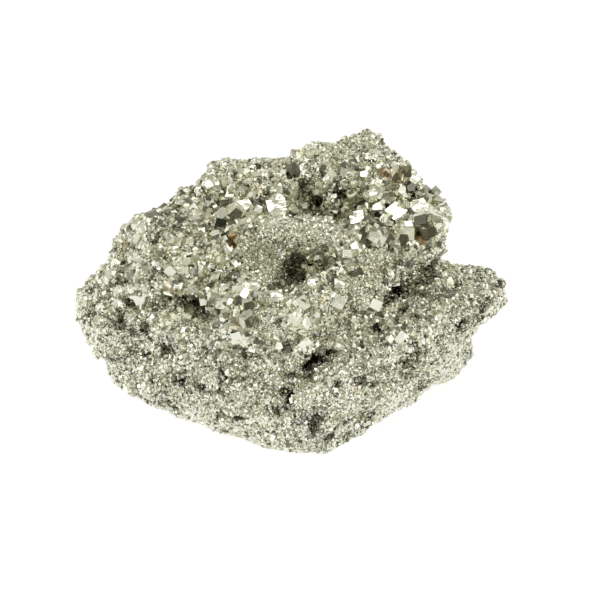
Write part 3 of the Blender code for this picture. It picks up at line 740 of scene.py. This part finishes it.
def scattered(mesh, rng, size, coverage, lift):
    """Places over a mesh: in each square as wide as the local size, as many as the local
    coverage.

    Triangles are drawn with a chance of area times coverage over size squared, and a point
    in each with even chances. Points are then thinned to one in each cell of a grid as wide
    as the places are apart, so that they don't crowd. A place is lifted along its normal by
    a share of the size. The outward directions, sizes and painted shade there come with them."""
    points, normals, corners = points_of(mesh), normals_of(mesh), triangles_of(mesh)
    size, coverage = size[corners].mean(axis=1), coverage[corners].mean(axis=1)
    edges = points[corners[:, 1:]] - points[corners[:, :1]]
    area = np.linalg.norm(np.cross(edges[:, 0], edges[:, 1]), axis=1) / 2
    weight = area * coverage / size**2
    weight *= points[corners][:, :, 2].max(axis=1) > RESTING
    count = int(DRAWS * weight.sum())
    picks = rng.choice(len(corners), count, p=weight / weight.sum())
    share = rng.dirichlet((1, 1, 1), count)[:, :, None]
    places = (points[corners[picks]] * share).sum(axis=1)
    outwards = (normals[corners[picks]] * share).sum(axis=1)
    outwards /= np.linalg.norm(outwards, axis=1)[:, None]
    apart = size[picks] / np.sqrt(coverage[picks])
    level = np.round(np.log(apart) / math.log(CELL_STEP))[:, None]
    key = np.column_stack([level, np.floor(places / CELL_STEP**level)]).astype(np.int64)
    _, first = np.unique(key, axis=0, return_index=True)
    first = np.sort(first)
    grime = np.empty(len(points), np.float32)
    mesh.attributes["grime"].data.foreach_get("value", grime)
    grime, own = grime[corners].mean(axis=1)[picks[first]], size[picks[first]]
    places = places[first] + outwards[first] * (lift * own)[:, None]
    return places, outwards[first], own, grime


def drawn(rng, centres, outwards, sizes, painted_shades, shares, tilt):
    """Crystals at these centres, with habits drawn by their shares. Corners stand upright
    on the skin. So do the rest, where a tilt is given, and otherwise they are turned at
    random."""
    count = len(centres)
    names = list(HABITS)
    chances = np.array([shares.get(name, 0) for name in names], float)
    habits = rng.choice(len(names), count, p=chances / chances.sum())
    stains = np.clip(rng.normal(*STAINS, count), 0, 1)
    # Crystals take the painted shade of the matrix under them, save a share that keeps little
    # of it, and a further share are painted as dark specks.
    painted_shades = painted_shades * np.where(rng.random(count) < SPARED_SHARE, SPARED_SHADE, 1)
    share = FINE_SPECKS + (COARSE_SPECKS - FINE_SPECKS) * ease(*SPECKED_FROM, sizes)
    painted_shades = np.maximum(painted_shades, SPECK_DARKNESS * (rng.random(count) < share))
    upright = (habits == names.index("corner")) | (tilt is not None)
    turns = np.where(
        upright[:, None, None],
        upright_turns(rng, outwards, CORNER_TILT if tilt is None else tilt),
        random_turns(rng, count),
    )
    shift = LOWER_TONE + (UPPER_TONE - LOWER_TONE) * ease(*UPPER_FROM, centres[:, 2])
    tones = np.clip(rng.random(count) + shift, 0, 1)
    return inside_solid_box(
        crystal_rows(centres, sizes, turns, habits, tones, stains, painted_shades)
    )


def chief_crystals(matrix):
    """The named crystals. Each is centred behind where its line of sight meets the solid,
    and is drawn to the matrix's nearest point if it isn't rooted there. Its turn takes the
    habit's main face to its facing direction, by the least rotation, and then spins about
    it."""
    skin, ground = surface_of(welded_solid()), surface_of(matrix)
    across, up, towards = sight_axes()
    eye = AIM + towards * VIEW_REACH
    rows = []
    for place, size, facing, spin, habit, tone, stain in CHIEF_CRYSTALS.values():
        mark = AIM + across * place[0] + up * place[1]
        sight = Vector(mark - eye).normalized()
        touch = skin.ray_cast(Vector(eye) * MM, sight)[0]
        centre = rooted(ground, touch / MM + sight * size * CHIEF_SINK, size * CHIEF_ROOT)
        face = Vector((0, 2.0, 1.0)) if habit == "pyritohedron" else Vector((0, 0, 1))
        way = Vector(facing_direction(*facing))
        turn = Quaternion(way, math.radians(spin)) @ face.rotation_difference(way)
        turn = np.array(turn.to_matrix())
        # Painted shade on the darkest chief crystals, standing in for the dark their faces
        # reflect.
        grime = max(DARK_TONE - tone, 0)
        rows.append((centre, size, turn, list(HABITS).index(habit), tone, stain, grime))
    return crystal_rows(*(np.array(column) for column in zip(*rows)))


def rooted(ground, centre, depth):
    """The centre, or if it is less than the depth inside the ground, the place that deep
    under the ground's nearest point."""
    nearest, normal, _, _ = ground.find_nearest(centre * MM)
    nearest = nearest / MM
    if (nearest - centre).dot(normal) < depth:
        centre = nearest - normal * depth
    return np.array(centre)


def clear_of(crystals, chiefs):
    """The crystals whose centres are outside every chief crystal."""
    away = np.linalg.norm(crystals["centre"][:, None] - chiefs["centre"][None], axis=2)
    return crystals[(away > CLEARANCE * chiefs["size"][None]).all(axis=1)]


# --- Finishes -------------------------------------------------------------------------------
PATCH_SCALE = 160.0  # of the tarnish patches, per metre
RUST_SCALE = 900.0
RUSTY_FROM = (0.3, 0.6)  # noise values between which a stained crystal turns rusty
LINE_SCALE = (0.3, 2.6, 1.0)  # per millimetre of a face, along and across its growth lines
PITTING_SCALE = 2.5
LINE_DEPTH = 0.00006
GRAIN_SCALE = 3400.0  # of the matrix's specks, per metre
GRAIN_DEPTH = 0.0003
GRAIN_BUMP = 0.5
MATRIX_TILT = 1.1  # of each speck's normal
MATRIX_ROUGHNESS = 0.35
MATRIX_PATCHES = 0.6
WHITE = (1.0, 1.0, 1.0, 1.0)


def rgba(colour):
    return (*colour, 1.0)


def fill(tree, sockets, values):
    """Links or sets the sockets of these names."""
    for label, value in dict(values).items():
        if isinstance(value, bpy.types.NodeSocket):
            tree.links.new(value, sockets[label])
        else:
            sockets[label].default_value = value


def add_node(tree, kind, values=(), **settings):
    """A node with its settings, its sockets linked or set by name."""
    node = tree.nodes.new(kind)
    for label, value in settings.items():
        setattr(node, label, value)
    fill(tree, node.inputs, values)
    return node


def add_group(tree, name, values):
    """The outputs of a shader group, placed with these values."""
    return add_node(
        tree, "ShaderNodeGroup", values, node_tree=bpy.data.node_groups[name]
    ).outputs


def figured(tree, operation, first, second, **settings):
    """The result of an operation on two values."""
    node = add_node(
        tree, "ShaderNodeMath", {0: first, 1: second}, operation=operation, **settings
    )
    return node.outputs[0]


def blended(tree, share, low, high, **settings):
    """A colour from low to high by this share."""
    values = {"Factor": share, 6: low, 7: high}
    return add_node(tree, "ShaderNodeMix", values, data_type="RGBA", **settings).outputs[2]


def stretched(tree, value, old, new, **settings):
    """The value taken from the old range to the new one."""
    labels = ("Value", "From Min", "From Max", "To Min", "To Max")
    values = dict(zip(labels, (value, *old, *new)))
    return add_node(tree, "ShaderNodeMapRange", values, **settings).outputs[0]


def noise(tree, place, scale, detail, **settings):
    values = {"Vector": place, "Scale": scale, "Detail": detail}
    return add_node(tree, "ShaderNodeTexNoise", values, **settings).outputs["Fac"]


def attribute(tree, name):
    return add_node(tree, "ShaderNodeAttribute", attribute_name=name).outputs["Fac"]


def new_group(name, inputs, outputs):
    """A shader group with these sockets, name to (kind, default) and name to kind, and the
    values that come in."""
    group = bpy.data.node_groups.new(name, "ShaderNodeTree")
    for label, (kind, value) in inputs.items():
        socket = group.interface.new_socket(label, in_out="INPUT", socket_type=kind)
        socket.default_value = value
    for label, kind in outputs.items():
        group.interface.new_socket(label, in_out="OUTPUT", socket_type=kind)
    return group, group.nodes.new("NodeGroupInput").outputs


def put_out(group, values):
    fill(group, group.nodes.new("NodeGroupOutput").inputs, values)


def tarnish_and_shade_group(finish):
    """Colour of a crystal: dull to bright by its tone, with soft tarnish patches, rust by
    its stain where a finer noise is high, and the shade colour by its painted shade, a
    darkening that stands in for shade. It also puts out how tarnished it is."""
    inputs = {label: ("NodeSocketFloat", 0.0) for label in ("Tone", "Stain", "Grime")}
    inputs["Patches"] = ("NodeSocketFloat", 0.35)
    for label in ("dull", "bright", "rust", "soot"):
        inputs[label.capitalize()] = ("NodeSocketColor", rgba(getattr(finish, label)))
    group, given = new_group(
        "tarnish", inputs, {"Color": "NodeSocketColor", "Tarnish": "NodeSocketFloat"}
    )
    place = add_node(group, "ShaderNodeTexCoord").outputs["Object"]
    patches = figured(group, "SUBTRACT", noise(group, place, PATCH_SCALE, 3.0), 0.5)
    patches = figured(group, "MULTIPLY", patches, given["Patches"])
    share = figured(group, "ADD", patches, given["Tone"], use_clamp=True)
    clean = blended(group, share, given["Dull"], given["Bright"])
    specks = stretched(group, noise(group, place, RUST_SCALE, 2.0), RUSTY_FROM, (0.0, 1.0))
    rusty = figured(group, "MULTIPLY", specks, given["Stain"])
    stained = blended(group, rusty, clean, given["Rust"])
    # Painted shade: the colour is darkened towards the shade colour.
    shaded_colour = blended(group, given["Grime"], stained, given["Soot"])
    put_out(group, {"Color": shaded_colour, "Tarnish": figured(group, "SUBTRACT", 1.0, share)})


def face_relief_group():
    """The relief of a crystal face. The height is noise drawn out along the face's first
    direction, plus a fine pitting. The face is also parted into blocks, each with a random
    colour."""
    group, given = new_group(
        "face_relief",
        {
            "Face": ("NodeSocketVector", (0, 0, 0)),
            "Pitting": ("NodeSocketFloat", 0.25),
            "Blocks": ("NodeSocketFloat", 1.1),
        },
        {"Height": "NodeSocketFloat", "Random": "NodeSocketVector"},
    )
    drawn_out = add_node(
        group, "ShaderNodeMapping", {"Vector": given["Face"], "Scale": LINE_SCALE}
    )
    lines = noise(group, drawn_out.outputs[0], 1.0, 3.0, noise_dimensions="2D")
    pits = noise(group, given["Face"], PITTING_SCALE, 2.0, noise_dimensions="2D")
    pits = figured(group, "MULTIPLY", pits, given["Pitting"])
    blocks = add_node(
        group, "ShaderNodeTexVoronoi", {"Vector": given["Face"], "Scale": given["Blocks"]},
        voronoi_dimensions="2D",
    )
    height = figured(group, "ADD", lines, pits)
    put_out(group, {"Height": height, "Random": blocks.outputs["Color"]})


def thrown_normal_group():
    """A normal thrown off by tilt times a random colour less its middle, made unit."""
    group, given = new_group(
        "thrown_normal",
        {
            "Normal": ("NodeSocketVector", (0, 0, 1)),
            "Random": ("NodeSocketVector", (0.5, 0.5, 0.5)),
            "Tilt": ("NodeSocketFloat", 0.2),
        },
        {"Normal": "NodeSocketVector"},
    )
    value = given["Random"]
    for operation, others in (
        ("SUBTRACT", {1: (0.5, 0.5, 0.5)}),
        ("SCALE", {"Scale": given["Tilt"]}),
        ("ADD", {1: given["Normal"]}),
        ("NORMALIZE", {}),
    ):
        node = add_node(
            group, "ShaderNodeVectorMath", {0: value, **others}, operation=operation
        )
        value = node.outputs[0]
    put_out(group, {"Normal": value})


def thrown_normal(tree, random, tilt):
    """The surface's normal thrown off by this random colour."""
    straight = add_node(tree, "ShaderNodeNewGeometry").outputs["Normal"]
    values = {"Normal": straight, "Random": random, "Tilt": tilt}
    return add_group(tree, "thrown_normal", values)["Normal"]


def new_material(name):
    """A material, its tree and its shader's sockets."""
    material = bpy.data.materials.new(name)
    material.use_nodes = True
    tree = material.node_tree
    return material, tree, tree.nodes["Principled BSDF"].inputs


def crystal_material(name, roughness, lines, tilt):
    """Metal with the colour worked out by the shader group of tarnish, rust and painted shade.
    Its roughness rises with the tarnish, from one given value to another, its growth lines
    have the given strength and its mosaic blocks the given tilt."""
    material, tree, sockets = new_material(name)
    own = {label.capitalize(): attribute(tree, label) for label in ("tone", "stain", "grime")}
    colour = add_group(tree, "tarnish", own)
    face = add_node(tree, "ShaderNodeUVMap", uv_map="face").outputs[0]
    relief = add_group(tree, "face_relief", {"Face": face})
    bump = add_node(
        tree, "ShaderNodeBump",
        {
            "Height": relief["Height"], "Strength": lines, "Distance": LINE_DEPTH,
            "Normal": thrown_normal(tree, relief["Random"], tilt),
        },
    )
    rough = stretched(tree, colour["Tarnish"], (0.0, 1.0), roughness)
    fill(tree, sockets, {
        "Metallic": 1.0, "Base Color": colour["Color"], "Roughness": rough,
        "Normal": bump.outputs[0],
    })
    return material


def matrix_material(finish):
    """Granular metal: a cell pattern finer than the finest grains gives each speck its own
    tone and normal, and the surface its bumps. Its darkest tone, the matrix colour, is partly
    painted shade in the gaps between crystals, and its painted shade darkens crevices,
    creases, pits and the gaps between lumps."""
    material, tree, sockets = new_material("matrix")
    place = add_node(tree, "ShaderNodeTexCoord").outputs["Object"]
    cells = add_node(tree, "ShaderNodeTexVoronoi", {"Vector": place, "Scale": GRAIN_SCALE})
    shade = add_node(tree, "ShaderNodeSeparateColor", {0: cells.outputs["Color"]})
    colour = add_group(tree, "tarnish", {
        "Tone": shade.outputs[0], "Patches": MATRIX_PATCHES, "Dull": rgba(finish.matrix),
        "Bright": rgba(finish.dull), "Grime": attribute(tree, "grime"),
    })
    bump = add_node(
        tree, "ShaderNodeBump",
        {
            "Height": cells.outputs["Distance"], "Strength": GRAIN_BUMP,
            "Distance": GRAIN_DEPTH,
            "Normal": thrown_normal(tree, cells.outputs["Color"], MATRIX_TILT),
        },
    )
    fill(tree, sockets, {
        "Metallic": 1.0, "Base Color": colour["Color"], "Roughness": MATRIX_ROUGHNESS,
        "Normal": bump.outputs[0],
    })
    return material


# --- The crust ------------------------------------------------------------------------------
# A look is the roughness from clean to tarnished, the strength of the growth lines and the
# tilt of the mosaic blocks.
CHIEF_LOOK = ((0.05, 0.14), 0.6, 0.2)
# Name, range of local grain size, scale on it, spread of the logarithm of the size, coverage,
# lift, habits' shares, look.
CRUST_LAYERS = (
    ("coarse_druse", (1.2, 9), 1.0, 0.22, 1.3, 0.05,
     {"cube": 0.35, "pyritohedron": 0.5, "cuboctahedron": 0.15}, (0.06, 0.22), 0.6, 0.16),
    ("medium_druse", (0.6, 1.2), 1.0, 0.3, 1.4, 0.1,
     {"cube": 0.4, "pyritohedron": 0.4, "cuboctahedron": 0.2}, (0.08, 0.26), 0.5, 0.2),
    ("filling_grains", (0.6, 9), 0.42, 0.25, 1.2, 0.05,
     {"corner": 0.75, "cube": 0.25}, (0.08, 0.26), 0.3, 0.3),
    ("fine_grains", (0, 0.6), 1.0, 0.25, 1.5, 0.1,
     {"corner": 0.75, "cube": 0.25}, (0.08, 0.26), 0.3, 0.3),
)
# Name, size, spread, part of the strewn share that is covered, lift, tilt off the skin,
# habits' shares, look.
STREWN_LAYERS = (
    ("strewn_plates", 1.4, 0.22, 0.85, -0.44, 0.35,
     {"cube": 0.35, "pyritohedron": 0.65}, (0.1, 0.3), 0.5, 0.3),
    ("strewn_druse", 1.05, 0.2, 0.75, -0.2, None,
     {"cube": 0.3, "pyritohedron": 0.5, "cuboctahedron": 0.2}, (0.1, 0.3), 0.5, 0.3),
)
STREWN_SCALE = (0.6, 1.2)  # on their size: at no strewn share, and more at a full one
SIZE_TAILS = 2.0  # standard deviations at which the spread of the sizes is cut off
PIECE_TRIANGLES = 190000


def triangle_count(crystals):
    """Triangles of all the crystals: a face of n corners has n - 2."""
    each = np.array([len(form.loops) - 2 * len(form.starts) for form in HABITS.values()])
    return int(each[crystals["habit"]].sum())


def grow_layer(matrix, chiefs, rng, name, size, spread, coverage, lift, shares, tilt, look):
    """One layer of crystals, clear of the chief crystals, cut into pieces from left to
    right so that none has too many triangles."""
    centres, outwards, own, painted_shades = scattered(matrix, rng, size, coverage, lift)
    own = own * np.exp(spread * rng.normal(size=len(own)).clip(-SIZE_TAILS, SIZE_TAILS))
    crystals = drawn(rng, centres, outwards, own, painted_shades, shares, tilt)
    crystals = clear_of(crystals, chiefs)
    material = crystal_material(name, *look)
    parts = math.ceil(triangle_count(crystals) / PIECE_TRIANGLES)
    order = np.argsort(crystals["centre"][:, 0], kind="stable")
    for number, rows in enumerate(np.array_split(order, parts)):
        label = name if parts == 1 else f"{name}_{number + 1}"
        add_object(label, crystals_mesh(label, crystals[rows]), material)


# --- The stage ------------------------------------------------------------------------------
# Softboxes: place and size in metres, and the setting that holds the power.
SOFTBOXES = {
    "key": ((0.0, 0.06, 0.62), (0.3, 0.26), "key"),
    "side_left": ((-0.62, -0.05, 0.34), (0.4, 0.4), "fill"),
    "side_right": ((0.62, 0.0, 0.30), (0.4, 0.4), "fill"),
}
FLOOR_SIZE = 6.0
FLOOR_DROP = 0.00002  # below the resting face
FLOOR_ROUGHNESS = 0.9
EYE_DARK = 0.16  # share of the room's light that is left where the eye is
DARK_EDGE = (34.0, 16.0)  # degrees from the eye between which it falls to that
ZENITH_SHARE = 0.6  # of the room's light that is left overhead
ZENITH_FROM = 0.8  # sine of the height above the floor from which it is
ROOM_SCALE = 2.2  # of the room's unevenness
ROOM_RANGE = (0.35, 0.65)  # noise values that give its least and most light


def add_floor(studio):
    mesh = bpy.data.meshes.new("floor")
    bm = bmesh.new()
    bmesh.ops.create_grid(bm, x_segments=1, y_segments=1, size=FLOOR_SIZE / 2)
    bmesh.ops.translate(bm, verts=bm.verts[:], vec=(0, 0, -FLOOR_DROP))
    bm.to_mesh(mesh)
    bm.free()
    material, tree, sockets = new_material("floor")
    fill(tree, sockets, {
        "Base Color": rgba(studio.floor), "Roughness": FLOOR_ROUGHNESS,
        "Specular IOR Level": 0.0, "Emission Color": WHITE, "Emission Strength": studio.glow,
    })
    mesh.materials.append(material)
    floor = bpy.data.objects.new("floor", mesh)
    bpy.context.scene.collection.objects.link(floor)


def add_softbox(name, place, size, power):
    """A rectangular light that looks at the aim point."""
    light = bpy.data.lights.new(name, "AREA")
    light.shape = "RECTANGLE"
    light.size, light.size_y = size
    light.energy = power
    obj = bpy.data.objects.new(name, light)
    bpy.context.scene.collection.objects.link(obj)
    obj.location = place
    sight = Vector(AIM * MM) - Vector(place)
    obj.rotation_euler = sight.to_track_quat("-Z", "Y").to_euler()


def set_room(studio):
    """A pale room, dimmer overhead and uneven all round, with a dark patch where the eye
    is, and of the dusk's colour where it is dark."""
    world = bpy.data.worlds.new("room")
    bpy.context.scene.world = world
    world.use_nodes = True
    tree = world.node_tree
    way = add_node(tree, "ShaderNodeTexCoord").outputs["Generated"]
    dot = add_node(
        tree, "ShaderNodeVectorMath", {0: way, 1: tuple(sight_axes()[2])},
        operation="DOT_PRODUCT",
    )
    edge = [math.cos(math.radians(angle)) for angle in DARK_EDGE]
    patch = stretched(
        tree, dot.outputs["Value"], edge, (1.0, EYE_DARK), interpolation_type="SMOOTHSTEP"
    )
    height = add_node(tree, "ShaderNodeSeparateXYZ", {0: way}).outputs["Z"]
    rise = stretched(
        tree, height, (0.0, ZENITH_FROM), (studio.sky, ZENITH_SHARE * studio.sky),
        interpolation_type="SMOOTHSTEP",
    )
    uneven = stretched(
        tree, noise(tree, way, ROOM_SCALE, 2.0), ROOM_RANGE,
        (1 - studio.contrast, 1 + studio.contrast),
    )
    level = figured(tree, "MULTIPLY", figured(tree, "MULTIPLY", rise, uneven), patch)
    tint = blended(tree, level, rgba(studio.dusk), WHITE, clamp_factor=True)
    fill(tree, tree.nodes["Background"].inputs, {"Color": tint, "Strength": level})


def add_camera():
    camera = bpy.data.cameras.new("camera")
    camera.sensor_width = SENSOR
    camera.lens = SENSOR * VIEW_REACH / PICTURE_WIDTH
    obj = bpy.data.objects.new("camera", camera)
    bpy.context.scene.collection.objects.link(obj)
    towards = Vector(sight_axes()[2])
    obj.location = (Vector(AIM) + towards * VIEW_REACH) * MM
    obj.rotation_euler = (-towards).to_track_quat("-Z", "Y").to_euler()
    bpy.context.scene.camera = obj


# --- Operators ------------------------------------------------------------------------------
class SPECIMEN_OT_finishes(bpy.types.Operator):
    """Make the shader groups that the finishes share"""

    bl_idname = "specimen.finishes"
    bl_label = "Make Finishes"

    def execute(self, context):
        tarnish_and_shade_group(context.scene.specimen_finish)
        face_relief_group()
        thrown_normal_group()
        return {"FINISHED"}


class SPECIMEN_OT_matrix(bpy.types.Operator):
    """Draw the matrix in place of the solid"""

    bl_idname = "specimen.matrix"
    bl_label = "Draw Matrix"

    def execute(self, context):
        mesh = matrix_mesh(context.scene.specimen_crust)
        obj = add_object("matrix", mesh, matrix_material(context.scene.specimen_finish))
        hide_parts(SOLID)
        return {"FINISHED"}


class SPECIMEN_OT_chiefs(bpy.types.Operator):
    """Set the chief crystals one by one"""

    bl_idname = "specimen.chiefs"
    bl_label = "Set Chief Crystals"

    def execute(self, context):
        chiefs = inside_solid_box(chief_crystals(bpy.data.objects["matrix"].data))
        mesh = crystals_mesh("chief_crystals", chiefs)
        add_object("chief_crystals", mesh, crystal_material("chief_faces", *CHIEF_LOOK))
        return {"FINISHED"}


class SPECIMEN_OT_crust(bpy.types.Operator):
    """Grow the crust of crystals on the matrix"""

    bl_idname = "specimen.crust"
    bl_label = "Grow Crust"

    def execute(self, context):
        crust = context.scene.specimen_crust
        rng = np.random.default_rng(crust.seed)
        matrix = bpy.data.objects["matrix"].data
        chiefs = chief_crystals(matrix)
        size, strewn = druse(points_of(matrix), normals_of(matrix))
        for name, sizes, scale, spread, coverage, lift, shares, *look in CRUST_LAYERS:
            here = crust.coverage * coverage * ((size >= sizes[0]) & (size < sizes[1]))
            grow_layer(
                matrix, chiefs, rng, name, size * scale, spread, here, lift, shares, None, look
            )
        least, more = STREWN_SCALE
        for name, own, spread, part, lift, tilt, shares, *look in STREWN_LAYERS:
            here, near = crust.coverage * strewn * part, own * (least + more * strewn)
            grow_layer(
                matrix, chiefs, rng, name, near, spread, here, lift, shares, tilt, look
            )
        return {"FINISHED"}


class SPECIMEN_OT_stage(bpy.types.Operator):
    """Set the floor, the lights, the room and the camera"""

    bl_idname = "specimen.stage"
    bl_label = "Set Stage"

    def execute(self, context):
        studio = context.scene.specimen_studio
        add_floor(studio)
        for name, (place, size, power) in SOFTBOXES.items():
            add_softbox(name, place, size, getattr(studio, power))
        set_room(studio)
        add_camera()
        context.scene.view_settings.view_transform = "Standard"
        return {"FINISHED"}


class SPECIMEN_PT_panel(bpy.types.Panel):
    """The specimen's sizes, colours and steps"""

    bl_idname = "SPECIMEN_PT_panel"
    bl_label = "Pyrite Specimen"
    bl_space_type = "VIEW_3D"
    bl_region_type = "UI"
    bl_category = "Specimen"

    def draw(self, context):
        for settings in ("specimen_crust", "specimen_finish", "specimen_studio"):
            group = getattr(context.scene, settings)
            box = self.layout.box()
            for label in type(group).__annotations__:
                box.prop(group, label)
        for operator in STEPS:
            self.layout.operator(operator.bl_idname)


STEPS = (
    SPECIMEN_OT_finishes,
    SPECIMEN_OT_matrix,
    SPECIMEN_OT_chiefs,
    SPECIMEN_OT_crust,
    SPECIMEN_OT_stage,
)
SETTINGS = {
    "specimen_crust": SpecimenCrust,
    "specimen_finish": SpecimenFinish,
    "specimen_studio": SpecimenStudio,
}


def register():
    for group in (*SETTINGS.values(), *STEPS, SPECIMEN_PT_panel):
        bpy.utils.register_class(group)
    for label, group in SETTINGS.items():
        setattr(bpy.types.Scene, label, bpy.props.PointerProperty(type=group))


def unregister():
    for label in SETTINGS:
        delattr(bpy.types.Scene, label)
    for group in (SPECIMEN_PT_panel, *reversed(STEPS), *SETTINGS.values()):
        bpy.utils.unregister_class(group)


def main():
    register()
    bpy.ops.specimen.finishes()
    bpy.ops.specimen.matrix()
    bpy.ops.specimen.chiefs()
    bpy.ops.specimen.crust()
    bpy.ops.specimen.stage()
    bpy.context.view_layer.update()


if __name__ == "__main__":
    main()
